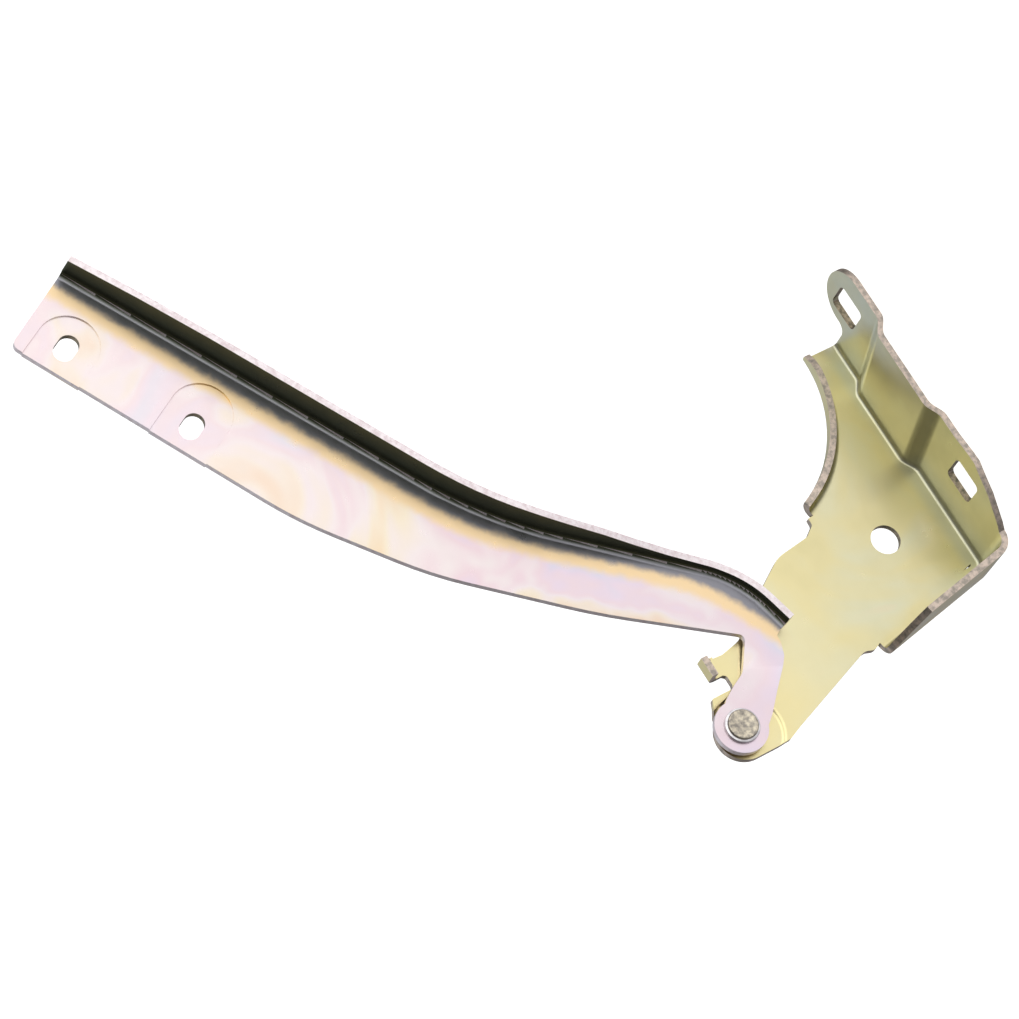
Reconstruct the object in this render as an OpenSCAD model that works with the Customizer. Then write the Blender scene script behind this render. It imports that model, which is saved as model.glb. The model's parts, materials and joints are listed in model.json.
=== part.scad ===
/* [Sheet] */
// thickness of the pressed sheet of both halves
sheet_t = 3;  // [2:0.5:4]
// inner bend radius of the bracket
bracket_bend = 2;  // [1:0.5:4]
// inner bend radius of the arm
arm_bend = 3;  // [1:0.5:4]

/* [Pivot] */
// pivot axis, distance behind the middle of the body slots
pivot_x = -90;  // [-110:1:-70]
// pivot axis, height over the body panel
pivot_z = 141.5;  // [120:0.5:160]
// front face of the upright plate
plate_y = 25;  // [23:0.5:30]
// shank radius of the pivot rivet
rivet_r = 4;  // [3:0.25:5]
// radius of the rivet head
head_r = 6.6;  // [5.5:0.1:7]
// thickness of the rivet head
head_t = 1.1;  // [0.8:0.1:2]
// radius of the closed head behind the plate
back_head_r = 6.5;  // [5:0.5:8]
// thickness of the closed head
back_head_t = 2.2;  // [1:0.1:4]
// running clearance of the bush on the rivet, radial
bush_fit = 0.05;  // [0.02:0.01:0.1]
// wall of the bush
bush_wall = 1.25;  // [1:0.25:2]
// radius of the bush collar
collar_r = 7.65;  // [7:0.05:9]
// thickness of the bush collar
collar_t = 1.5;  // [1:0.1:2.5]
// radius of the spacer washer
spacer_r = 9.5;  // [8:0.5:11]
// gap of each sliding face in the stack
slide_gap = 0.1;  // [0.05:0.05:0.2]

/* [Bracket plate] */
// centre of the shallow recess beside the pivot, across
recess_x = -2.5;  // [-4:0.5:0]
// centre of the recess, up
recess_z = -2.5;  // [-4:0.5:0]
// radius of the recess at its rim
recess_r = 17.3;  // [16:0.1:19]
// width of the sloping wall of the recess
recess_run = 2.5;  // [1:0.25:4]
// depth of the recess
recess_depth = 1.5;  // [1:0.1:2]
// round hole, distance ahead of the pivot
hole_x = 43.3;  // [38:0.5:50]
// round hole, distance below the pivot
hole_drop = 106.3;  // [98:0.5:112]
// radius of the round hole
hole_r = 6.65;  // [4:0.05:9]
// radius of the concave front edge, at the outer face of its rim
sweep_r = 62;  // [58:0.5:66]
// inside bend radius of the rim
rim_bend = 3.5;  // [2:0.25:4]
// height of the rim on the concave edge over the plate front
rim_h = 7;  // [5:0.5:10]
// height of the stop tab over the plate front
tab_h = 7;  // [5:0.5:10]
// width of the stop tab
tab_w = 9;  // [6:0.5:10]

/* [Body flange] */
// distance between the two body slots
slot_gap = 90;  // [80:1:96]
// width of a body slot
slot_w = 14;  // [10:0.5:15]
// length of a body slot
slot_l = 16;  // [15:0.5:18]
// corner radius of a body slot
slot_corner = 2.5;  // [1:0.25:5]
// rise of the middle part of the flange
raise_h = 4;  // [2:0.5:6]
// reach of the flange at the front ear
ear_reach = 41.5;  // [40:0.5:44]
// reach of the flange at the rear corner
corner_reach = 26.5;  // [24:0.5:32]
// radius of the rounded end of the ear
ear_r = 15;  // [13:0.5:15]
// outer radius of the corner to the rear flange
corner_r = 9;  // [7.5:0.25:10]
// reach of the rear flange
rear_reach = 26.5;  // [22:0.5:30]

/* [Arm] */
// angle of the arm over the body panel in the pose shown
arm_angle = 28.64;  // [20:0.5:34]
// radius of the eye
eye_r = 11.7;  // [10.5:0.1:13]
// offset between the eye and the web
joggle = 2;  // [1:0.25:3]
// full length from the pivot to the end of the arm
arm_l = 334.5;  // [330:0.5:345]
// greatest reach of the arm flange over the web
flange_h = 16;  // [12:0.5:20]
// outer hood slot, distance from the pivot along the arm
hood_slot_1 = 315.5;  // [310:0.5:318]
// inner hood slot, distance from the pivot along the arm
hood_slot_2 = 255;  // [248:0.5:262]
// both hood slots, offset from the arm's middle line
hood_slot_b = 17.1;  // [16:0.1:19]
// width of a hood slot
hood_slot_w = 9;  // [7:0.25:10]
// length of a hood slot
hood_slot_l = 12.8;  // [11:0.2:15]
// radius of the pressed pads round the hood slots
pad_r = 13.5;  // [12:0.25:14]
// depth of the pads
pad_depth = 0.8;  // [0.4:0.1:1.5]

/* [Hidden] */
$fn = 64;
steps = 5;
floor_z = -pivot_z;
body_slot_x = -pivot_x;
slot_h = plate_y;
ear_x = body_slot_x + slot_gap / 2 + 0.5;
bush_r = rivet_r + bush_fit;
eye_bore_r = bush_r + bush_wall;
pad_front = -recess_depth;
pad_back = pad_front - sheet_t;
eye_back = 0.5;
eye_front = eye_back + sheet_t;
web_back = eye_back + joggle;
web_front = web_back + sheet_t;
collar_front = eye_front + collar_t;
head_back = collar_front + slide_gap;
bend_out = bracket_bend + sheet_t;
rim_bend_out = rim_bend + sheet_t;
arm_bend_out = arm_bend + sheet_t;
sweep_z = -58;
front_x = 130;
sweep_x = front_x;
rear_tilt = 10.5;
rear_x = 10.3;
half_turn = (90 + rear_tilt) / 2;
corner_x = rear_x + corner_r / tan(half_turn);
corner_z = floor_z + corner_r;
rear_l = 64.5;
joggle_front = -23;
joggle_rear = -33.5;

function unit(v) = v / norm(v);
function turn(v, a) = [v.x * cos(a) - v.y * sin(a), v.x * sin(a) + v.y * cos(a)];
function wrap(a) = a > 180 ? a - 360 : a < -180 ? a + 360 : a;
function smooth(u) = u <= 0 ? 0 : u >= 1 ? 1 : u * u * (3 - 2 * u);

// one corner of an outline, rounded by its third value
function corner(a, b, c, r) =
    let (u = unit(a - b), v = unit(c - b), half = acos(u * v) / 2)
    let (m = b + unit(u + v) * r / sin(half))
    let (p = b + u * r / tan(half) - m, q = b + v * r / tan(half) - m)
    let (a0 = atan2(p.y, p.x), da = wrap(atan2(q.y, q.x) - a0))
    let (n = max(2, ceil(abs(da) * (r > 40 ? 0.4 : 0.12))))
    [for (i = [0 : n]) m + r * [cos(a0 + da * i / n), sin(a0 + da * i / n)]];
function flat2(p) = [p[0], p[1]];
function outline(pts) =
    let (n = len(pts))
    [for (i = [0 : n - 1])
        for (q = pts[i][2] > 0
            ? corner(flat2(pts[(i + n - 1) % n]), flat2(pts[i]), flat2(pts[(i + 1) % n]), pts[i][2])
            : [flat2(pts[i])]) q];

// section of a bent edge: outer and inner line, from the plate to the free edge
function bend_outer(ri, top, strip) = concat([[strip, -sheet_t]],
    [for (i = [0 : steps]) [ri + sheet_t, ri] + (ri + sheet_t) * [-sin(90 * i / steps), -cos(90 * i / steps)]],
    [[0, top]]);
function bend_inner(ri, top, strip) = concat([[strip, 0]],
    [for (i = [0 : steps]) [ri + sheet_t, ri] + ri * [-sin(90 * i / steps), -cos(90 * i / steps)]],
    [[sheet_t, top]]);
function backward(a) = [for (i = [len(a) - 1 : -1 : 0]) a[i]];
function bend_loop(ri, top, strip) = concat(bend_outer(ri, top, strip), backward(bend_inner(ri, top, strip)));

// a column of a wall: foot point, inward direction, top, strip, slant
function column(c, ri) = [for (p = bend_loop(ri, c[4], c[5]))
    [c[0] + c[2] * p[0] + c[6] * max(0, p[1] - ri), c[1] + c[3] * p[0], p[1]]];

module bent_wall(cols, ri) {
    m = 2 * (steps + 3);
    n = len(cols);
    half = m / 2;
    polyhedron(
        points = [for (c = cols) each column(c, ri)],
        faces = concat(
            [for (i = [0 : n - 2]) for (j = [0 : m - 1])
                [i * m + j, (i + 1) * m + (j + 1) % m, i * m + (j + 1) % m]],
            [for (i = [0 : n - 2]) for (j = [0 : m - 1])
                [i * m + j, (i + 1) * m + j, (i + 1) * m + (j + 1) % m]],
            [for (j = [0 : half - 2]) [m - 1 - j, j + 1, m - 2 - j]],
            [for (j = [0 : half - 2]) [m - 1 - j, j, j + 1]],
            [for (j = [0 : half - 2]) (n - 1) * m * [1, 1, 1] + [m - 1 - j, m - 2 - j, j + 1]],
            [for (j = [0 : half - 2]) (n - 1) * m * [1, 1, 1] + [m - 1 - j, j + 1, j]]
        ));
}

module at_pivot() {
    translate([pivot_x, plate_y, pivot_z])
        rotate([90, 0, 0])
            children();
}

module at_arm() {
    at_pivot()
        rotate([0, 0, arm_angle])
            children();
}

module between(low, high) {
    translate([0, 0, low])
        linear_extrude(height = high - low)
            children();
}

module slot_2d(length, width) {
    for (k = [-1, 1])
        translate([k * (length - width) / 2, 0])
            circle(r = width / 2);
    square([length - width, width], center = true);
}

// outline of the upright plate, ahead of and above the pivot
module plate_2d() {
    polygon(outline([
        [front_x, floor_z + 6.5, 0],
        for (a = [-90 : -4 : -154])
            [sweep_x + (sweep_r + rim_bend_out + 1.4) * cos(a),
                sweep_z + (sweep_r + rim_bend_out + 1.4) * sin(a), 0],
        [66.5, -80.8, 0],
        [63.2, -80.6, 1.5],
        [59.6, -75.5, 4],
        [57.4, -58.5, 14],
        [49.2, -45.2, 0],
        [33.4, -22.4, 14],
        [31.2, -12, 0],
        [31.6, -6, 0],
        [24, -6, 0],
        [22.3, -8.4, 1.5],
        [16.5, -8.4, 2],
        [16.5, 2.9, 1],
        [12.7, 4.6, 0],
        [9, 6.4, 3],
        [0, 4, 0],
        [-8, 0, 0],
        [-13.4, -1.3, 0],
        [-13.4, -17.6, 3],
        [-10.2, -25.6, 30],
        [4.9, -68.6, 5],
        [3.3, -73, 4],
        [6.5, -80, 0],
        [rear_x - tan(rear_tilt) * 60 + 6.7, floor_z + 60, 0],
        [rear_x + 7.2, floor_z + 6.2, 1.7],
        [58, floor_z + 6.2, 0],
        [63, floor_z + 6.5, 0],
        [73, floor_z + raise_h + 6.5, 0],
        [104, floor_z + raise_h + 6.5, 0],
        [113, floor_z + 6.5, 0]
    ]));
    translate([-1.4, -1.3])
        circle(r = 12);
}

// columns of the body flange, the corner and the rear flange
function body_col(x, lift, top, strip, slant) = [x, floor_z + lift, 0, 1, top, strip, slant];
body_cols = concat(
    [body_col(front_x, 0, ear_reach, 8.3, 0), body_col(121, 0, ear_reach, 8.3, 0.05)],
    [for (i = [0 : 6]) body_col(112.5 - 8 * i / 6, raise_h * smooth(i / 6), ear_reach - i / 5, 8.3, 0.22)],
    [body_col(98, raise_h, 40.3, 8.3, 0.08), body_col(86, raise_h, 40.3, 8.3, 0.08)],
    [for (i = [0 : 6]) body_col(72.5 - 9 * i / 6, raise_h * smooth(1 - i / 6), 40.3 - i / 8, 8.3, 0.17)],
    [body_col(57, 0, 39.7, 8.3, 0.08), body_col(50, 0, 40.9, 8, 0), body_col(45.5, 0, 41, 7.4, 0)],
    [body_col(41, 0, 39, 7.4, 0), body_col(32, 0, 35.7, 7.4, 0), body_col(corner_x + 3, 0, 29, 7.4, 0)],
    [for (i = [0 : 6]) let (a = -90 - (90 - rear_tilt) * i / 6)
        [corner_x + corner_r * cos(a), corner_z + corner_r * sin(a), -cos(a), -sin(a),
            corner_reach - (corner_reach - rear_reach) * i / 6, 7.4, 0]],
    [for (i = [1 : 6]) let (l = corner_r / tan(half_turn) + 5 * i * i / 6 + 2.3 * i)
        [rear_x - l * sin(rear_tilt), floor_z + l * cos(rear_tilt), cos(rear_tilt), sin(rear_tilt),
            rear_reach, 8, 0]],
    [for (i = [0 : 5]) let (l = rear_l - 13 + 13 * i / 5, u = i / 5)
        [rear_x - l * sin(rear_tilt), floor_z + l * cos(rear_tilt), cos(rear_tilt), sin(rear_tilt),
            rear_reach + (bracket_bend + 1 - rear_reach) * u * (0.7 + 0.3 * u), 8, 0]]
);

module bend_2d(top, strip) {
    polygon(bend_loop(bracket_bend, top, strip));
}

module recess_solid() {
    intersection() {
        between(pad_back - 1, 1)
            plate_2d();
        translate([recess_x, recess_z, 0])
            rotate_extrude()
                polygon([
                    [0, pad_back],
                    [recess_r - recess_run, pad_back],
                    [recess_r, -sheet_t],
                    [recess_r + 2.5, -sheet_t],
                    [recess_r + 2.5, 0],
                    [recess_r, 0],
                    [recess_r - recess_run, pad_front],
                    [0, pad_front]
                ]);
    }
}

// columns of the rim along the concave edge, lower at both ends
rim_cols = [for (a = [-158 : 4 : -90])
    [sweep_x + sweep_r * cos(a), sweep_z + sweep_r * sin(a), cos(a), sin(a),
        min(rim_h, 4.3 + (a + 158) * 0.4, 4 + (-90 - a) * 0.5), rim_bend_out + 3, 0]];

module tab() {
    translate([32.3, 0.6, 0])
        rotate([0, 0, -90])
            rotate([90, 0, 0])
                linear_extrude(height = tab_w)
                    bend_2d(tab_h, bend_out + 3);
}

module ear_2d() {
    polygon(outline([
        [114.5, 5, 0],
        [front_x, 5, 0],
        [front_x, slot_h + 3.4 - ear_r, 5],
        [ear_x + ear_r, slot_h + 3.4 - ear_r, ear_r - 0.05],
        [ear_x + ear_r, ear_reach, ear_reach - slot_h - 4],
        [122.5, ear_reach, 0]
    ]));
}

module body_slot_2d() {
    polygon(outline([
        for (k = [[1, 1], [-1, 1], [-1, -1], [1, -1]])
            [k.x * slot_l / 2, k.y * slot_w / 2, slot_corner]
    ]));
}

module bracket() {
    color([0.75, 0.72, 0.55])
        difference() {
            union() {
                at_pivot() {
                    difference() {
                        between(-sheet_t, 0)
                            plate_2d();
                        translate([recess_x, recess_z, -2 * sheet_t])
                            cylinder(r = recess_r + 1.2, h = 3 * sheet_t);
                    }
                    recess_solid();
                    bent_wall(rim_cols, rim_bend);
                    bent_wall(body_cols, bracket_bend);
                }
                at_pivot()
                    tab();
                translate([pivot_x, plate_y, 0])
                    mirror([0, 1, 0])
                        linear_extrude(height = sheet_t)
                            ear_2d();
            }
            at_pivot()
                translate([0, 0, pad_back - 1])
                    cylinder(r = rivet_r, h = sheet_t + 2);
            at_pivot()
                translate([hole_x, -hole_drop, -sheet_t - 1])
                    cylinder(r = hole_r, h = sheet_t + 2);
            for (k = [-1, 1])
                translate([k * slot_gap / 2, 0, -1])
                    linear_extrude(height = sheet_t + 2)
                        body_slot_2d();
        }
}

// line along the arm where the web meets the bend of its flange
function bend_line(d) = [
    [arm_l + 0.6, -7.5 + d, 0],
    [133.4, -14.65 + d, 200 - d],
    [32.1, -53.9 + d, 48 - d],
    [6.4, -47.7 + d, 0]
];

module arm_2d() {
    polygon(outline(concat(
        bend_line(1.2),
        [
            [6.5, -43.9, 0.8],
            [3.7, -42.2, 1.5],
            [-0.3, -37.6, 4],
            [-2.1, -33, 20],
            [-3.7, -27.8, 30],
            [-8.3, -12.5, 5],
            [-9.4, -6.2, 0],
            [9, -1, 0],
            [10.9, -6, 5],
            [11.2, -14, 30],
            [10.7, -21.5, 8],
            [17.9, -35.9, 2.6],
            [74, -8.4, 300],
            [140, 16.8, 180],
            [198, 28, 180],
            [arm_l, 29.7, 3.5]
        ]
    )));
    circle(r = eye_r);
}

// reach of the flange over the web front along the arm
function arm_reach(a) = flange_h / 16 * lookup(a, [
    [5, 5.4], [24, 5.2], [40, 4.6], [55, 5], [72, 7], [92, 11], [115, 13.8],
    [160, 15], [220, 15.4], [262, 16], [300, 15], [335, 12.6]
]);

// points and normals along the line of the bend
function line_cols() =
    let (p = bend_line(0))
    let (o1 = corner(flat2(p[0]), flat2(p[1]), flat2(p[2]), p[1][2]))
    let (o2 = corner(flat2(p[1]), flat2(p[2]), flat2(p[3]), p[2][2]))
    let (q = concat([for (i = [0 : 9]) flat2(p[0]) * (1 - i / 10) + o1[0] * i / 10], o1,
        [for (i = [1 : 3]) o1[len(o1) - 1] * (1 - i / 4) + o2[0] * i / 4], o2,
        [o2[len(o2) - 1] / 2 + flat2(p[3]) / 2, flat2(p[3])]))
    [for (i = [0 : len(q) - 1])
        let (d = unit(q[min(i + 1, len(q) - 1)] - q[max(i - 1, 0)]), n = turn(d, -90))
        [q[i] - n * arm_bend_out, n]];

arm_cols = [for (c = line_cols())
    [c[0].x, c[0].y, c[1].x, c[1].y, arm_reach(c[0].x), arm_bend_out + 3,
        c[0].x > arm_l - 1 ? -0.12 : 0]];

module pad_2d(a) {
    translate([a, -7.5 + (a > 290 ? 23.2 : 17.3)])
        circle(r = pad_r);
    translate([a - pad_r, -7.5 + (a > 290 ? 23.2 : 17.3)])
        square([2 * pad_r, 40]);
}

module hood_pads_2d() {
    intersection() {
        arm_2d();
        union() {
            pad_2d(hood_slot_1);
            pad_2d(hood_slot_2);
        }
    }
}

module arm() {
    color([0.86, 0.82, 0.86])
        at_arm()
            difference() {
                union() {
                    between(web_back, web_front)
                        difference() {
                            arm_2d();
                            translate([-40, joggle_rear])
                                square([58.2, 80]);
                            pad_2d(hood_slot_1);
                            pad_2d(hood_slot_2);
                        }
                    between(web_back - pad_depth, web_front - pad_depth)
                        hood_pads_2d();
                    intersection() {
                        between(eye_back - 1, web_front + 1)
                            intersection() {
                                arm_2d();
                                translate([-40, -37])
                                    square([58.2, 80]);
                            }
                        translate([-50, 0, 0])
                            rotate([90, 0, 90])
                                linear_extrude(height = 100)
                                    polygon([
                                        [40, eye_back],
                                        [joggle_front, eye_back],
                                        [joggle_rear, web_back],
                                        [-45, web_back],
                                        [-45, web_front],
                                        [joggle_rear, web_front],
                                        [joggle_front, eye_front],
                                        [40, eye_front]
                                    ]);
                    }
                    translate([0, 0, web_front])
                        bent_wall(arm_cols, arm_bend);
                }
                translate([0, 0, eye_back - 1])
                    cylinder(r = eye_bore_r, h = sheet_t + 2);
                for (a = [hood_slot_1, hood_slot_2])
                    translate([a, hood_slot_b, web_back - 2])
                        rotate([0, 0, 90])
                            linear_extrude(height = sheet_t + 4)
                                slot_2d(hood_slot_l, hood_slot_w);
            }
}

module bush() {
    color([0.9, 0.9, 0.92])
        at_pivot()
            difference() {
                union() {
                    translate([0, 0, eye_back])
                        cylinder(r = eye_bore_r, h = sheet_t + collar_t);
                    translate([0, 0, eye_front])
                        cylinder(r = collar_r, h = collar_t);
                }
                translate([0, 0, eye_back - 1])
                    cylinder(r = bush_r, h = sheet_t + collar_t + 2);
            }
}

module spacer() {
    color([0.8, 0.8, 0.82])
        at_pivot()
            difference() {
                translate([0, 0, pad_front])
                    cylinder(r = spacer_r, h = eye_back - slide_gap - pad_front);
                translate([0, 0, pad_front - 1])
                    cylinder(r = rivet_r, h = 10);
            }
}

module rivet() {
    color([0.72, 0.7, 0.6])
        at_pivot() {
            translate([0, 0, pad_back - back_head_t])
                cylinder(r = back_head_r, h = back_head_t);
            translate([0, 0, pad_back - 1])
                cylinder(r = rivet_r, h = head_back - pad_back + 1.5);
            translate([0, 0, head_back])
                cylinder(r = head_r, h = head_t);
        }
}

bracket();
arm();
bush();
spacer();
rivet();
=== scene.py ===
import json
import math

import bmesh
import bpy
from mathutils import Matrix, Vector
from mathutils.bvhtree import BVHTree


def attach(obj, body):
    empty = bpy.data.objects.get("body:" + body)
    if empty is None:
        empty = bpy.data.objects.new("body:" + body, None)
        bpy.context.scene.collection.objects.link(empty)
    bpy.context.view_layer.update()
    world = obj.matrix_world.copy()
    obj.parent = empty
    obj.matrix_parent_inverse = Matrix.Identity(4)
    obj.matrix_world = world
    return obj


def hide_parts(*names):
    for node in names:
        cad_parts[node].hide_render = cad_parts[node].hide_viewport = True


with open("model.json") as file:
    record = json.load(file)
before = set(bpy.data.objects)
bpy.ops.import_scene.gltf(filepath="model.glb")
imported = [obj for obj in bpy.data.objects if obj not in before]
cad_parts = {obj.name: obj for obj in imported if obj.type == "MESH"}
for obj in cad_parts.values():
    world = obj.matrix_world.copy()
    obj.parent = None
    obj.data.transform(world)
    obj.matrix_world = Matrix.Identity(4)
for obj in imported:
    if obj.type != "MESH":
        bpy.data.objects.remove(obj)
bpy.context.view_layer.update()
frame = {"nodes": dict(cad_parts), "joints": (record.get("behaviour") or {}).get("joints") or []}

mm = 0.001
print("hinge frame loaded:", sorted(frame["nodes"]))

# The pivot pin's middle line, as the joint gives it, and the arm's own axes at a fixed angle
pivotAt = Vector(frame["joints"][0]["pos_m"])
armAngle = math.radians(28.64)
armAlong = Vector((math.cos(armAngle), 0, math.sin(armAngle)))
armAcross = Vector((-math.sin(armAngle), 0, math.cos(armAngle)))


# Camera
viewCamera = {
    "place": Vector((-0.4216, -1.5824, 0.9410)),
    "looksAlong": Vector((0.24937, 0.87438, -0.41626)),
    "pictureRight": Vector((-0.52049, -0.24147, -0.81902)),
    "lens": 157.21,   # for a 36 mm sensor across the square picture
}


def makeCamera(facts):
    data = bpy.data.cameras.new("hingeCamera")
    data.sensor_fit = "HORIZONTAL"
    data.sensor_width = 36
    data.lens = facts["lens"]
    data.clip_start = 0.05
    data.clip_end = 50
    data.dof.use_dof = False
    camera = bpy.data.objects.new("hingeCamera", data)
    bpy.context.scene.collection.objects.link(camera)
    back = -facts["looksAlong"].normalized()
    right = facts["pictureRight"].normalized()
    up = back.cross(right)
    turn = Matrix((right, up, back)).transposed()
    camera.matrix_world = Matrix.Translation(facts["place"]) @ turn.to_4x4()
    bpy.context.scene.camera = camera


makeCamera(viewCamera)
print("camera set")


# Small helpers for node trees
def addNode(tree, kind, place, **values):
    node = tree.nodes.new(kind)
    node.location = place
    for name, value in values.items():
        setattr(node, name, value)
    return node


def newGroup(name, inputs, outputs):
    group = bpy.data.node_groups.new(name, "ShaderNodeTree")
    for label, kind, value in inputs:
        socket = group.interface.new_socket(label, in_out="INPUT", socket_type=kind)
        if value is not None:
            socket.default_value = value
    for label, kind in outputs:
        group.interface.new_socket(label, in_out="OUTPUT", socket_type=kind)
    start = addNode(group, "NodeGroupInput", (-900, 0))
    end = addNode(group, "NodeGroupOutput", (700, 0))
    return group, start, end


# Floor, room and lights
studio = {
    "floorHalf": 12,
    "floorDrop": 0.6 * mm,
    "floorRough": 0.9,
    "floorWhite": 0.95,
    "floorGlow": 1.0,
    "roomBase": (0.22, 0.22, 0.225),
    "behindCamera": (0.93, 0.93, 0.94),   # what the camera sees past the floor
    "glows": [
        # direction, full within, gone past (degrees), colour
        ((0.30, -0.88, -0.38), 22, 66, (0.66, 0.65, 0.66)),
        ((0.38, -0.88, 0.30), 10, 42, (0.62, 0.63, 0.60)),
        ((0.28, 0.90, 0.36), 10, 46, (0.36, 0.38, 0.41)),
        ((-0.05, 0.80, -0.60), 10, 46, (0.12, 0.11, 0.14)),
    ],
    "shade": ((-0.45, -0.52, 0.73), 24, 46, 0.5),   # direction, full within, gone past, what is left
    "softboxes": [
        # name, place, aims at, size, power
        ("frontBox", (0.45, -1.25, -0.35), (0, 0, 0.12), 1.0, 0.25),
    ],
}


def makeFloor(facts):
    mesh = bpy.data.meshes.new("studioFloor")
    shape = bmesh.new()
    bmesh.ops.create_grid(shape, x_segments=1, y_segments=1, size=facts["floorHalf"])
    bmesh.ops.translate(shape, verts=shape.verts, vec=(0, 0, -facts["floorDrop"]))
    shape.to_mesh(mesh)
    shape.free()
    floor = bpy.data.objects.new("studioFloor", mesh)
    bpy.context.scene.collection.objects.link(floor)
    floor.visible_glossy = False   # the sheet mirrors the room's soft glows instead
    floor.visible_diffuse = False
    floor.visible_shadow = False
    material = bpy.data.materials.new("studioPaper")
    material.use_nodes = True
    paper = material.node_tree.nodes["Principled BSDF"]
    white = facts["floorWhite"]
    paper.inputs["Base Color"].default_value = (white, white, white, 1)
    paper.inputs["Roughness"].default_value = facts["floorRough"]
    paper.inputs["Emission Color"].default_value = (1, 1, 1, 1)
    paper.inputs["Emission Strength"].default_value = facts["floorGlow"]
    mesh.materials.append(material)


def glowMask(tree, sight, direction, inner, outer, row):
    toward = addNode(tree, "ShaderNodeVectorMath", (-700, row), operation="DOT_PRODUCT")
    toward.inputs[1].default_value = Vector(direction).normalized()
    tree.links.new(sight.outputs["Generated"], toward.inputs[0])
    soft = addNode(tree, "ShaderNodeMapRange", (-500, row), interpolation_type="SMOOTHSTEP")
    soft.inputs["From Min"].default_value = math.cos(math.radians(outer))
    soft.inputs["From Max"].default_value = math.cos(math.radians(inner))
    tree.links.new(toward.outputs["Value"], soft.inputs["Value"])
    return soft


def makeRoom(facts):
    room = bpy.data.worlds.new("studioRoom")
    room.use_nodes = True
    tree = room.node_tree
    sight = addNode(tree, "ShaderNodeTexCoord", (-900, 0))
    total = None
    for row, (direction, inner, outer, colour) in enumerate(facts["glows"]):
        soft = glowMask(tree, sight, direction, inner, outer, -250 * row)
        tinted = addNode(tree, "ShaderNodeVectorMath", (-300, -250 * row), operation="SCALE")
        tinted.inputs[0].default_value = colour
        tree.links.new(soft.outputs[0], tinted.inputs["Scale"])
        joined = addNode(tree, "ShaderNodeVectorMath", (-100, -250 * row), operation="ADD")
        tree.links.new(tinted.outputs[0], joined.inputs[0])
        if total is None:
            joined.inputs[1].default_value = facts["roomBase"]
        else:
            tree.links.new(total.outputs[0], joined.inputs[1])
        total = joined
    direction, inner, outer, left = facts["shade"]
    dark = glowMask(tree, sight, direction, inner, outer, 400)
    keep = addNode(tree, "ShaderNodeMapRange", (-100, 400))
    keep.inputs["To Min"].default_value = 1
    keep.inputs["To Max"].default_value = left
    tree.links.new(dark.outputs[0], keep.inputs["Value"])
    shaded = addNode(tree, "ShaderNodeVectorMath", (100, 200), operation="SCALE")
    tree.links.new(total.outputs[0], shaded.inputs[0])
    tree.links.new(keep.outputs[0], shaded.inputs["Scale"])
    ray = addNode(tree, "ShaderNodeLightPath", (100, 500))
    pick = addNode(tree, "ShaderNodeMix", (300, 300), data_type="RGBA")
    pick.inputs["B"].default_value = (*facts["behindCamera"], 1)
    tree.links.new(ray.outputs["Is Camera Ray"], pick.inputs["Factor"])
    tree.links.new(shaded.outputs[0], pick.inputs["A"])
    tree.links.new(pick.outputs["Result"], tree.nodes["Background"].inputs["Color"])
    bpy.context.scene.world = room
    bpy.context.scene.view_settings.view_transform = "Standard"
    bpy.context.scene.view_settings.look = "None"


def makeLights(facts):
    for name, place, aim, size, power in facts["softboxes"]:
        data = bpy.data.lights.new(name, "AREA")
        data.shape = "DISK"
        data.size = size
        data.energy = power
        light = bpy.data.objects.new(name, data)
        bpy.context.scene.collection.objects.link(light)
        light.location = place
        toward = Vector(aim) - Vector(place)
        light.rotation_euler = toward.to_track_quat("-Z", "Y").to_euler()


makeFloor(studio)
makeRoom(studio)
makeLights(studio)
print("studio set")


# Zinc plate: a soft drift of colour over the sheet
driftLook = {"detail": 3, "roughness": 0.55, "distortion": 0.8, "fineDetail": 5, "fineRoughness": 0.6, "fineTimes": 9}


def zincDriftGroup():
    group, start, end = newGroup(
        "zincDrift",
        [("Scale", "NodeSocketFloat", 18.0), ("Amount", "NodeSocketFloat", 1.0), ("Seed", "NodeSocketFloat", 0.0)],
        [("Drift", "NodeSocketFloat"), ("Fine", "NodeSocketFloat")])
    links = group.links
    place = addNode(group, "ShaderNodeTexCoord", (-900, 300))
    broad = addNode(group, "ShaderNodeTexNoise", (-450, 250), noise_dimensions="4D")
    broad.inputs["Detail"].default_value = driftLook["detail"]
    broad.inputs["Roughness"].default_value = driftLook["roughness"]
    broad.inputs["Distortion"].default_value = driftLook["distortion"]
    fine = addNode(group, "ShaderNodeTexNoise", (-450, -50), noise_dimensions="4D")
    fine.inputs["Detail"].default_value = driftLook["fineDetail"]
    fine.inputs["Roughness"].default_value = driftLook["fineRoughness"]
    times = addNode(group, "ShaderNodeMath", (-650, -150), operation="MULTIPLY")
    times.inputs[1].default_value = driftLook["fineTimes"]
    spread = addNode(group, "ShaderNodeMath", (-200, 250), operation="MULTIPLY_ADD")
    links.new(place.outputs["Object"], broad.inputs["Vector"])
    links.new(place.outputs["Object"], fine.inputs["Vector"])
    links.new(start.outputs["Scale"], broad.inputs["Scale"])
    links.new(start.outputs["Scale"], times.inputs[0])
    links.new(times.outputs[0], fine.inputs["Scale"])
    links.new(start.outputs["Seed"], broad.inputs["W"])
    links.new(start.outputs["Seed"], fine.inputs["W"])
    centred = addNode(group, "ShaderNodeMath", (-350, 450), operation="SUBTRACT")
    centred.inputs[1].default_value = 0.5
    links.new(broad.outputs["Fac"], centred.inputs[0])
    links.new(centred.outputs[0], spread.inputs[0])
    links.new(start.outputs["Amount"], spread.inputs[1])
    spread.inputs[2].default_value = 0.5
    links.new(spread.outputs[0], end.inputs["Drift"])
    links.new(fine.outputs["Fac"], end.inputs["Fine"])
    return group


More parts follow.
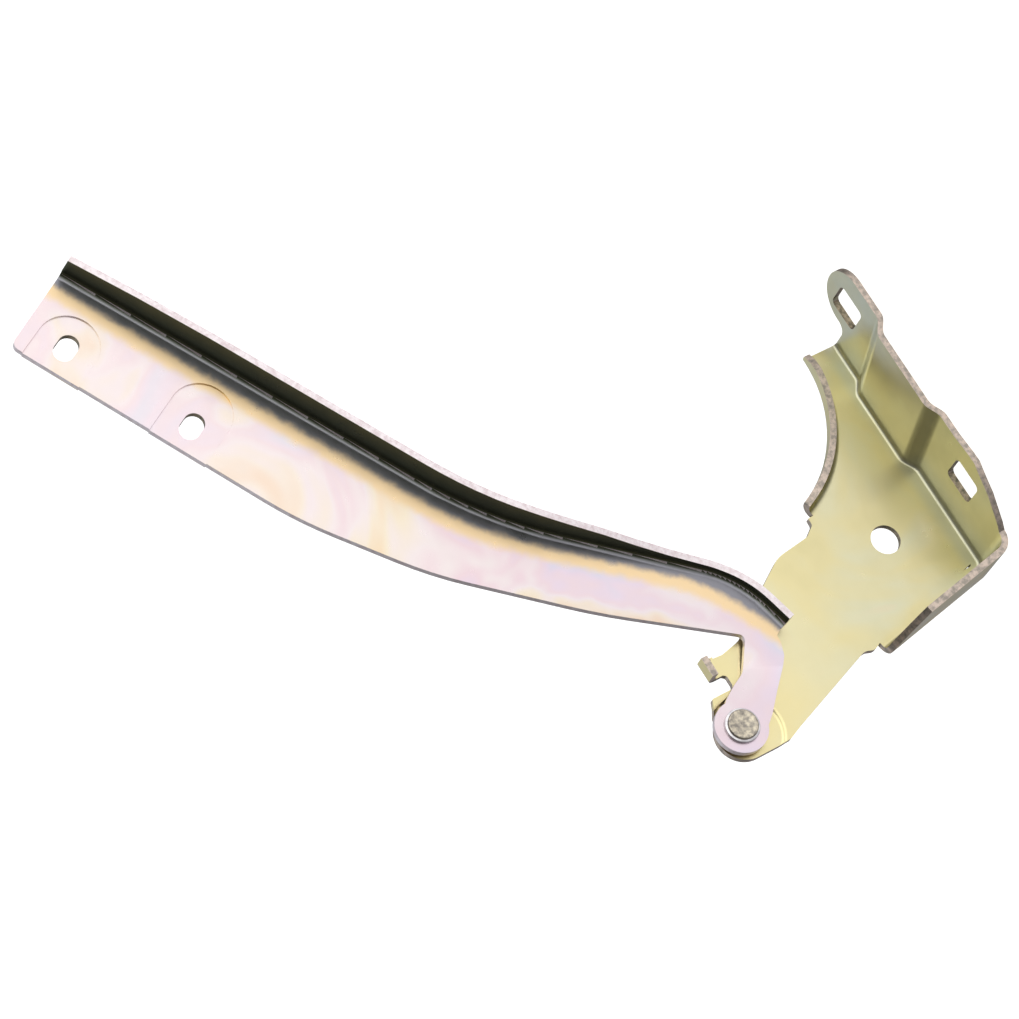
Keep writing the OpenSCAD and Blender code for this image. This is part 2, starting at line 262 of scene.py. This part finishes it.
# Hair scratches: thin broken lines that run one way
scratchLook = {"squeeze": (0.05, 1, 1), "detail": 2, "strandTimes": 12, "patchFrom": 0.48, "patchTo": 0.68}


def scratchGroup():
    group, start, end = newGroup(
        "hairScratches",
        [("Density", "NodeSocketFloat", 60.0), ("Turn", "NodeSocketVector", (0, 0, 0)),
         ("Width", "NodeSocketFloat", 0.03)],
        [("Lines", "NodeSocketFloat")])
    links = group.links
    place = addNode(group, "ShaderNodeTexCoord", (-900, 300))
    turned = addNode(group, "ShaderNodeMapping", (-700, 250))
    squeezed = addNode(group, "ShaderNodeMapping", (-500, 250))
    squeezed.inputs["Scale"].default_value = scratchLook["squeeze"]
    strands = addNode(group, "ShaderNodeTexNoise", (-300, 250))
    strands.inputs["Detail"].default_value = scratchLook["detail"]
    links.new(place.outputs["Object"], turned.inputs["Vector"])
    links.new(start.outputs["Turn"], turned.inputs["Rotation"])
    links.new(turned.outputs["Vector"], squeezed.inputs["Vector"])
    links.new(squeezed.outputs["Vector"], strands.inputs["Vector"])
    times = addNode(group, "ShaderNodeMath", (-500, 0), operation="MULTIPLY")
    times.inputs[1].default_value = scratchLook["strandTimes"]
    links.new(start.outputs["Density"], times.inputs[0])
    links.new(times.outputs[0], strands.inputs["Scale"])
    off = addNode(group, "ShaderNodeMath", (-100, 250), operation="SUBTRACT")
    off.inputs[1].default_value = 0.5
    size = addNode(group, "ShaderNodeMath", (60, 250), operation="ABSOLUTE")
    thin = addNode(group, "ShaderNodeMapRange", (240, 250), interpolation_type="SMOOTHSTEP")
    thin.inputs["From Min"].default_value = 0
    thin.inputs["To Min"].default_value = 1
    thin.inputs["To Max"].default_value = 0
    links.new(strands.outputs["Fac"], off.inputs[0])
    links.new(off.outputs[0], size.inputs[0])
    links.new(size.outputs[0], thin.inputs["Value"])
    links.new(start.outputs["Width"], thin.inputs["From Max"])
    patches = addNode(group, "ShaderNodeTexNoise", (-300, -100))
    patches.inputs["Detail"].default_value = scratchLook["detail"]
    links.new(place.outputs["Object"], patches.inputs["Vector"])
    links.new(start.outputs["Density"], patches.inputs["Scale"])
    keep = addNode(group, "ShaderNodeMapRange", (-50, -100), interpolation_type="SMOOTHSTEP")
    keep.inputs["From Min"].default_value = scratchLook["patchFrom"]
    keep.inputs["From Max"].default_value = scratchLook["patchTo"]
    links.new(patches.outputs["Fac"], keep.inputs["Value"])
    both = addNode(group, "ShaderNodeMath", (440, 100), operation="MULTIPLY")
    links.new(thin.outputs[0], both.inputs[0])
    links.new(keep.outputs[0], both.inputs[1])
    links.new(both.outputs[0], end.inputs["Lines"])
    return group


zincDrift = zincDriftGroup()
hairScratches = scratchGroup()


def useGroup(tree, group, place, **values):
    node = addNode(tree, "ShaderNodeGroup", place, node_tree=group)
    for label, value in values.items():
        node.inputs[label].default_value = value
    return node


def fillRamp(ramp, stops):
    while len(ramp.elements) > 1:
        ramp.elements.remove(ramp.elements[0])
    ramp.elements[0].position = stops[0][0]
    ramp.elements[0].color = (*stops[0][1], 1)
    for place, colour in stops[1:]:
        element = ramp.elements.new(place)
        element.color = (*colour, 1)


def scaled(tree, value, factor, place):
    times = addNode(tree, "ShaderNodeMath", place, operation="MULTIPLY")
    tree.links.new(value, times.inputs[0])
    if isinstance(factor, bpy.types.NodeSocket):
        tree.links.new(factor, times.inputs[1])
    else:
        times.inputs[1].default_value = factor
    return times.outputs[0]


def easeMask(tree, value, low, high, place):
    mask = addNode(tree, "ShaderNodeMapRange", place, interpolation_type="SMOOTHSTEP")
    mask.inputs["From Min"].default_value = low
    mask.inputs["From Max"].default_value = high
    tree.links.new(value, mask.inputs["Value"])
    return mask.outputs[0]


def mixColour(tree, factor, first, second, place, blend="MIX"):
    mix = addNode(tree, "ShaderNodeMix", place, data_type="RGBA", blend_type=blend)
    tree.links.new(factor, mix.inputs["Factor"])
    tree.links.new(first, mix.inputs["A"])
    mix.inputs["B"].default_value = (*second, 1)
    return mix.outputs["Result"]


# Where a point lies on the arm, in mm: along it, and how far across from the bend of its flange
bendLine = {
    "span": 340, "depth": 60,
    "first": -49.8, "last": -7.8,
    "between": ((25, -50.6), (42, -49.2), (62, -42.6), (90, -31.6),
                (115, -22.2), (145, -14.4), (190, -12), (260, -9.6)),
}


def armPlaceGroup(facts):
    group, start, end = newGroup("armPlace", [], [("Along", "NodeSocketFloat"), ("BendGap", "NodeSocketFloat")])
    group.nodes.remove(start)
    links = group.links
    span, depth = facts["span"], facts["depth"]
    place = addNode(group, "ShaderNodeTexCoord", (-900, 100))
    fromPin = addNode(group, "ShaderNodeVectorMath", (-700, 100), operation="SUBTRACT")
    fromPin.inputs[1].default_value = pivotAt
    links.new(place.outputs["Object"], fromPin.inputs[0])
    along = addNode(group, "ShaderNodeVectorMath", (-500, 200), operation="DOT_PRODUCT")
    along.inputs[1].default_value = armAlong / mm
    across = addNode(group, "ShaderNodeVectorMath", (-500, 0), operation="DOT_PRODUCT")
    across.inputs[1].default_value = armAcross / mm
    links.new(fromPin.outputs[0], along.inputs[0])
    links.new(fromPin.outputs[0], across.inputs[0])
    share = addNode(group, "ShaderNodeMath", (-300, 250), operation="DIVIDE")
    share.inputs[1].default_value = span
    bend = addNode(group, "ShaderNodeFloatCurve", (-100, 250))
    line = bend.mapping.curves[0]
    line.points[0].location = (0, (facts["first"] + depth) / depth)
    line.points[1].location = (1, (facts["last"] + depth) / depth)
    for a, b in facts["between"]:
        line.points.new(a / span, (b + depth) / depth)
    bend.mapping.update()
    links.new(along.outputs["Value"], share.inputs[0])
    links.new(share.outputs[0], bend.inputs["Value"])
    back = addNode(group, "ShaderNodeMath", (150, 250), operation="MULTIPLY_ADD")
    back.inputs[1].default_value = depth
    back.inputs[2].default_value = -depth
    links.new(bend.outputs[0], back.inputs[0])
    gap = addNode(group, "ShaderNodeMath", (350, 150), operation="SUBTRACT")
    links.new(across.outputs["Value"], gap.inputs[0])
    links.new(back.outputs[0], gap.inputs[1])
    links.new(along.outputs["Value"], end.inputs["Along"])
    links.new(gap.outputs[0], end.inputs["BendGap"])
    return group


# Small dark specks and stains, few and far apart
speckLook = {"density": 55.0, "raggedScale": 900, "reach": 0.075, "keepOver": 0.72}


def speckGroup(facts):
    group, start, end = newGroup("dirtSpecks", [], [("Specks", "NodeSocketFloat")])
    group.nodes.remove(start)
    links = group.links
    place = addNode(group, "ShaderNodeTexCoord", (-900, 100))
    cells = addNode(group, "ShaderNodeTexVoronoi", (-600, 200))
    cells.inputs["Scale"].default_value = facts["density"]
    ragged = addNode(group, "ShaderNodeTexNoise", (-600, -100))
    ragged.inputs["Scale"].default_value = facts["raggedScale"]
    links.new(place.outputs["Object"], cells.inputs["Vector"])
    links.new(place.outputs["Object"], ragged.inputs["Vector"])
    reach = scaled(group, ragged.outputs["Fac"], facts["reach"], (-400, 0))
    dot = addNode(group, "ShaderNodeMath", (-200, 150), operation="LESS_THAN")
    links.new(cells.outputs["Distance"], dot.inputs[0])
    links.new(reach, dot.inputs[1])
    apart = addNode(group, "ShaderNodeSeparateColor", (-400, 350))
    links.new(cells.outputs["Color"], apart.inputs[0])
    few = addNode(group, "ShaderNodeMath", (-200, 350), operation="GREATER_THAN")
    few.inputs[1].default_value = facts["keepOver"]
    links.new(apart.outputs[0], few.inputs[0])
    links.new(scaled(group, dot.outputs[0], few.outputs[0], (0, 200)), end.inputs["Specks"])
    return group


armPlace = armPlaceGroup(bendLine)
dirtSpecks = speckGroup(speckLook)


# Finishes of the sheets, one dictionary each. Distances in the arm's are in mm.
sheetLook = {
    "stain": (0.30, 0.27, 0.20),
    "fineFrom": 0.3, "fineTo": 0.7,
    "bump": 0.12, "bumpDepth": 0.1 * mm,
}
armZinc = {
    "stops": [(0.10, (0.93, 0.66, 0.34)), (0.27, (0.95, 0.84, 0.62)), (0.38, (0.93, 0.84, 0.82)),
              (0.47, (0.90, 0.72, 0.75)), (0.56, (0.86, 0.72, 0.82)), (0.66, (0.74, 0.74, 0.86)),
              (0.78, (0.86, 0.90, 0.84)), (0.92, (0.95, 0.88, 0.66))],
    "scale": 17, "amount": 2.2, "seed": 2.0,
    "roughness": (0.26, 0.36), "turn": (0, -armAngle, 0),
    "farPale": (0.97, 0.86, 0.85), "farFrom": 120, "farTo": 230, "farShare": 0.55,
    "nearDeep": (0.84, 0.74, 0.80), "nearFrom": 150, "nearTo": 60, "nearShare": 0.4,
    "raggedBy": 5,
    "fringe": (0.97, 0.74, 0.44), "fringeFrom": 14.5, "fringeTo": 9.5,
    # Next line: a dark reflection painted along the flange bend
    "shadeBand": (0.30, 0.30, 0.33), "shadeBandFrom": 8.2, "shadeBandTo": 4.0,
    # Next line: painted shade, a dark olive on the inner side of the flange near the bend
    "flankShade": (0.15, 0.165, 0.10), "flankShadeFrom": 7, "flankShadeTo": 4, "facingFrom": 0.15, "facingTo": 0.7,
}
bracketZinc = {
    "stops": [(0.14, (0.60, 0.55, 0.31)), (0.36, (0.74, 0.67, 0.36)), (0.52, (0.82, 0.74, 0.41)),
              (0.68, (0.78, 0.76, 0.52)), (0.86, (0.88, 0.72, 0.50))],
    "scale": 16, "amount": 1.3, "seed": 7.0,
    "roughness": (0.27, 0.38), "turn": (0, 0.9, 0),
    "warm": (0.98, 0.86, 0.46), "warmFrom": 50 * mm, "warmTo": 120 * mm, "warmShare": 0.55,
    # Next line: a painted bluish reflection low on the sheet, along the base bend
    "blueReflection": (0.50, 0.60, 0.66), "blueReflectionFrom": 13 * mm, "blueReflectionTo": 6 * mm, "blueReflectionShare": 0.35,
}


def startMetal(name):
    material = bpy.data.materials.new(name)
    material.use_nodes = True
    metal = material.node_tree.nodes["Principled BSDF"]
    metal.inputs["Metallic"].default_value = 1
    return material, material.node_tree, metal


def addBump(tree, metal, height, strength, depth):
    bump = addNode(tree, "ShaderNodeBump", (-250, -300))
    bump.inputs["Strength"].default_value = strength
    bump.inputs["Distance"].default_value = depth
    tree.links.new(height, bump.inputs["Height"])
    tree.links.new(bump.outputs["Normal"], metal.inputs["Normal"])


def sheetMaterial(name, facts, colourOf):
    material, tree, metal = startMetal(name)
    drift = useGroup(tree, zincDrift, (-1300, 200), Scale=facts["scale"], Amount=facts["amount"],
                     Seed=facts["seed"])
    ramp = addNode(tree, "ShaderNodeValToRGB", (-1050, 250))
    fillRamp(ramp.color_ramp, facts["stops"])
    tree.links.new(drift.outputs["Drift"], ramp.inputs["Fac"])
    lines = useGroup(tree, hairScratches, (-900, -250), Turn=facts["turn"])
    specks = useGroup(tree, dirtSpecks, (-900, -500))
    colour = colourOf(tree, ramp.outputs["Color"], drift.outputs["Fine"], facts)
    dirty = mixColour(tree, specks.outputs["Specks"], colour, sheetLook["stain"], (-250, 250), "MULTIPLY")
    shine = addNode(tree, "ShaderNodeMapRange", (-400, -50))
    shine.inputs["From Min"].default_value = sheetLook["fineFrom"]
    shine.inputs["From Max"].default_value = sheetLook["fineTo"]
    shine.inputs["To Min"].default_value = facts["roughness"][0]
    shine.inputs["To Max"].default_value = facts["roughness"][1]
    tree.links.new(drift.outputs["Fine"], shine.inputs["Value"])
    tree.links.new(dirty, metal.inputs["Base Color"])
    tree.links.new(shine.outputs[0], metal.inputs["Roughness"])
    addBump(tree, metal, lines.outputs["Lines"], sheetLook["bump"], sheetLook["bumpDepth"])
    return material


# The arm: paler far out, deeper near the pivot, then fringe, a painted dark reflection along the flange bend and
# painted shade on the inner side of the flange
def armColour(tree, blotches, fine, facts):
    place = useGroup(tree, armPlace, (-1300, -100))
    colour = blotches
    for row, part in enumerate(("far", "near")):
        mask = easeMask(tree, place.outputs["Along"], facts[part + "From"], facts[part + "To"],
                        (-1050, -100 - 250 * row))
        share = scaled(tree, mask, facts[part + "Share"], (-900, -100 - 250 * row))
        tint = facts["farPale"] if part == "far" else facts["nearDeep"]
        colour = mixColour(tree, share, colour, tint, (-750 + 150 * row, 300))
    gap = addNode(tree, "ShaderNodeMath", (-1150, -600), operation="MULTIPLY_ADD")
    gap.inputs[1].default_value = facts["raggedBy"]
    tree.links.new(fine, gap.inputs[0])
    tree.links.new(place.outputs["BendGap"], gap.inputs[2])
    # The second colour in this loop is a painted dark reflection along the flange bend
    for row, part in enumerate(("fringe", "shadeBand")):
        mask = easeMask(tree, gap.outputs[0], facts[part + "From"], facts[part + "To"],
                        (-950, -600 - 200 * row))
        colour = mixColour(tree, mask, colour, facts[part], (-450 + 150 * row, 300))
    # Painted shade: faces turned across the arm, close to the bend, are darkened
    facing = addNode(tree, "ShaderNodeTexCoord", (-1150, -1000))
    inward = addNode(tree, "ShaderNodeVectorMath", (-950, -1000), operation="DOT_PRODUCT")
    inward.inputs[1].default_value = armAcross
    tree.links.new(facing.outputs["Normal"], inward.inputs[0])
    inside = easeMask(tree, inward.outputs["Value"], facts["facingFrom"], facts["facingTo"], (-750, -1000))
    reach = easeMask(tree, place.outputs["BendGap"], facts["flankShadeFrom"], facts["flankShadeTo"], (-750, -1200))
    return mixColour(tree, scaled(tree, inside, reach, (-550, -1000)), colour, facts["flankShade"], (-150, 300))


# The bracket: warmer toward the pivot, and a painted bluish reflection low down, along the base bend
def bracketColour(tree, blotches, fine, facts):
    place = addNode(tree, "ShaderNodeTexCoord", (-1300, -100))
    apart = addNode(tree, "ShaderNodeSeparateXYZ", (-1150, -100))
    tree.links.new(place.outputs["Object"], apart.inputs[0])
    colour = blotches
    # The second tint is a painted bluish reflection along the base bend
    for row, part in enumerate(("warm", "blueReflection")):
        mask = easeMask(tree, apart.outputs["Z"], facts[part + "From"], facts[part + "To"],
                        (-1000, -100 - 250 * row))
        share = scaled(tree, mask, facts[part + "Share"], (-850, -100 - 250 * row))
        colour = mixColour(tree, share, colour, facts[part], (-700 + 150 * row, 300))
    return colour


armSheet = sheetMaterial("armZincPlate", armZinc, armColour)
bracketSheet = sheetMaterial("bracketZincPlate", bracketZinc, bracketColour)


# Bare metal, mottled and pitted by one noise: sheared edges and turned pieces
edgeGrain = {"scale": 420, "grainRough": 0.65, "dullTo": 0.36, "brightFrom": 0.60, "bump": 0.5,
             "bumpDepth": 0.2 * mm}
turnedGrain = {"grainRough": 0.6, "dullTo": 0.38, "brightFrom": 0.62, "bumpDepth": 0.3 * mm}
grainDetail = 4
bareMetals = {
    "bracketShearedEdge": {**edgeGrain, "bright": (0.74, 0.62, 0.52), "dull": (0.38, 0.34, 0.29),
                           "roughness": 0.4},
    "armShearedEdge": {**edgeGrain, "bright": (0.97, 0.90, 0.91), "dull": (0.80, 0.69, 0.70),
                       "roughness": 0.36},
    # Painted shade: the walls of holes get a darker metal than the open sheared edges
    "shadedHoleWall": {**edgeGrain, "bright": (0.46, 0.38, 0.26), "dull": (0.14, 0.13, 0.09),
                 "roughness": 0.45},
    "bushSteel": {**turnedGrain, "bright": (0.93, 0.91, 0.92), "dull": (0.62, 0.60, 0.62),
                  "roughness": 0.3, "scale": 260, "bump": 0.15},
    "rivetSteel": {**turnedGrain, "bright": (0.80, 0.72, 0.56), "dull": (0.34, 0.31, 0.27),
                   "roughness": 0.36, "scale": 420, "bump": 0.6},
    "spacerSteel": {**turnedGrain, "bright": (0.55, 0.53, 0.50), "dull": (0.30, 0.29, 0.28),
                    "roughness": 0.4, "scale": 300, "bump": 0.2},
}


def mottledMetal(name, facts):
    material, tree, metal = startMetal(name)
    metal.inputs["Roughness"].default_value = facts["roughness"]
    place = addNode(tree, "ShaderNodeTexCoord", (-1000, 100))
    grain = addNode(tree, "ShaderNodeTexNoise", (-750, 200))
    grain.inputs["Scale"].default_value = facts["scale"]
    grain.inputs["Detail"].default_value = grainDetail
    grain.inputs["Roughness"].default_value = facts["grainRough"]
    tree.links.new(place.outputs["Object"], grain.inputs["Vector"])
    ramp = addNode(tree, "ShaderNodeValToRGB", (-500, 200))
    fillRamp(ramp.color_ramp, [(facts["dullTo"], facts["dull"]), (facts["brightFrom"], facts["bright"])])
    tree.links.new(grain.outputs["Fac"], ramp.inputs["Fac"])
    tree.links.new(ramp.outputs["Color"], metal.inputs["Base Color"])
    addBump(tree, metal, grain.outputs["Fac"], facts["bump"], facts["bumpDepth"])
    return material


bare = {name: mottledMetal(name, facts) for name, facts in bareMetals.items()}
print("finishes made:", 2 + len(bare))


def placePiece(name, shape, materials, sharpOver, body, node):
    mesh = bpy.data.meshes.new(name)
    shape.to_mesh(mesh)
    shape.free()
    for material in materials:
        mesh.materials.append(material)
    mesh.shade_smooth()
    mesh.set_sharp_from_angle(angle=math.radians(sharpOver))
    piece = bpy.data.objects.new(name, mesh)
    bpy.context.scene.collection.objects.link(piece)
    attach(piece, body)
    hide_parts(node)
    return piece


# A pressed sheet: a copy of the imported solid's mesh, its edges rolled over. Slots of its materials:
# 0 the sheet, 1 sheared edges, 2 the walls of holes, a darker metal as painted shade. Angles are in degrees.
pressing = {
    "mergeWithin": 0.002 * mm, "flatWithin": 0.6, "rollOver": 38, "sharpOver": 32, "evenWeight": 100,
    "rayLift": 0.01 * mm, "thinUnder": 5.1 * mm, "holeReach": 17 * mm,
    "uprightUnder": 0.3, "frontUnder": -0.6,
}
bracketPress = {**pressing, "stepDrop": 0.5 * mm, "rollover": 0.45 * mm, "freeEdgeY": 21 * mm}
armPress = {**pressing, "stepDrop": 1.2 * mm, "rollover": 0.4 * mm, "freeEdgeY": 18.5 * mm}


def markSheared(shape, facts):
    tree = BVHTree.FromBMesh(shape)
    for face in shape.faces:
        middle = face.calc_center_median()
        lift = face.normal * facts["rayLift"]
        behind = tree.ray_cast(middle - lift, -face.normal)
        ahead = tree.ray_cast(middle + lift, face.normal, facts["holeReach"])
        depths = [v.co.y for v in face.verts]
        thin = behind[0] is not None and behind[3] < facts["thinUnder"]
        step = abs(face.normal.y) < facts["uprightUnder"] and max(depths) - min(depths) < facts["stepDrop"]
        freeEdge = middle.y < facts["freeEdgeY"] and face.normal.y < facts["frontUnder"]
        if not freeEdge and (thin or step):
            face.material_index = 0
        else:
            # A face that looks onto the sheet close by, inside a hole, takes slot 2, darkened with painted shade
            face.material_index = 1 if ahead[0] is None else 2


def roundedSheet(name, node, body, materials, facts):
    shape = bmesh.new()
    shape.from_mesh(frame["nodes"][node].data)
    bmesh.ops.remove_doubles(shape, verts=shape.verts, dist=facts["mergeWithin"])
    markSheared(shape, facts)
    bmesh.ops.dissolve_limit(shape, angle_limit=math.radians(facts["flatWithin"]), verts=shape.verts,
                             edges=shape.edges, delimit={"MATERIAL"})
    limit = math.radians(facts["rollOver"])
    sharp = [e for e in shape.edges if len(e.link_faces) == 2 and e.calc_face_angle() > limit]
    bmesh.ops.bevel(shape, geom=sharp, offset=facts["rollover"], offset_type="OFFSET", segments=3,
                    profile=0.5, affect="EDGES", clamp_overlap=True, material=0)
    piece = placePiece(name, shape, materials, facts["sharpOver"], body, node)
    even = piece.modifiers.new("evenNormals", "WEIGHTED_NORMAL")
    even.weight = facts["evenWeight"]
    even.keep_sharp = True
    return piece


bracketSkin = roundedSheet("bracket_sheet", "bracket", "base",
                           [bracketSheet, bare["bracketShearedEdge"], bare["shadedHoleWall"]], bracketPress)
armSkin = roundedSheet("arm_sheet", "arm", "swing_arm",
                       [armSheet, bare["armShearedEdge"], bare["shadedHoleWall"]], armPress)
print("sheets rounded:", len(bracketSkin.data.polygons), len(armSkin.data.polygons))


# Turned pieces on the pivot, as rings of (radius, height over the plate's front) in mm
turning = {"plateY": 25, "sides": 72, "mergeWithin": 0.001 * mm, "sharpOver": 40}
bushRings = [(4.05, 0.5), (5.3, 0.5), (5.3, 3.5), (7.45, 3.5), (7.65, 3.7), (7.65, 4.5), (7.5, 4.85),
             (7.2, 5.0), (4.05, 5.0)]
rivetRings = [(0, -6.7), (5.8, -6.7), (6.3, -6.45), (6.5, -6.0), (6.5, -4.5), (4, -4.5), (4, 5.1),
              (6.4, 5.1), (6.6, 5.3), (6.6, 5.75), (6.4, 6.05), (6.0, 6.2), (5.4, 6.15), (4.4, 5.9),
              (2.8, 5.7), (0, 5.65)]


def turnedPiece(name, rings, material, body, node):
    shape = bmesh.new()
    line = []
    for radius, height in rings:
        spot = pivotAt + Vector((radius * mm, 0, 0))
        spot.y = (turning["plateY"] - height) * mm
        line.append(shape.verts.new(spot))
    hollow = rings[0][0] > 0
    ends = zip(line, line[1:] + line[:1]) if hollow else zip(line, line[1:])
    edges = [shape.edges.new(pair) for pair in ends]
    bmesh.ops.spin(shape, geom=line + edges, cent=pivotAt, axis=(0, 1, 0), angle=2 * math.pi,
                   steps=turning["sides"], use_merge=True)
    bmesh.ops.remove_doubles(shape, verts=shape.verts, dist=turning["mergeWithin"])
    bmesh.ops.recalc_face_normals(shape, faces=shape.faces)
    placePiece(name, shape, [material], turning["sharpOver"], body, node)


turnedPiece("bush_round", bushRings, bare["bushSteel"], "swing_arm", "bush")
turnedPiece("rivet_round", rivetRings, bare["rivetSteel"], "base", "rivet")
for slot in frame["nodes"]["spacer"].material_slots:
    slot.material = bare["spacerSteel"]
print("pivot pieces made")
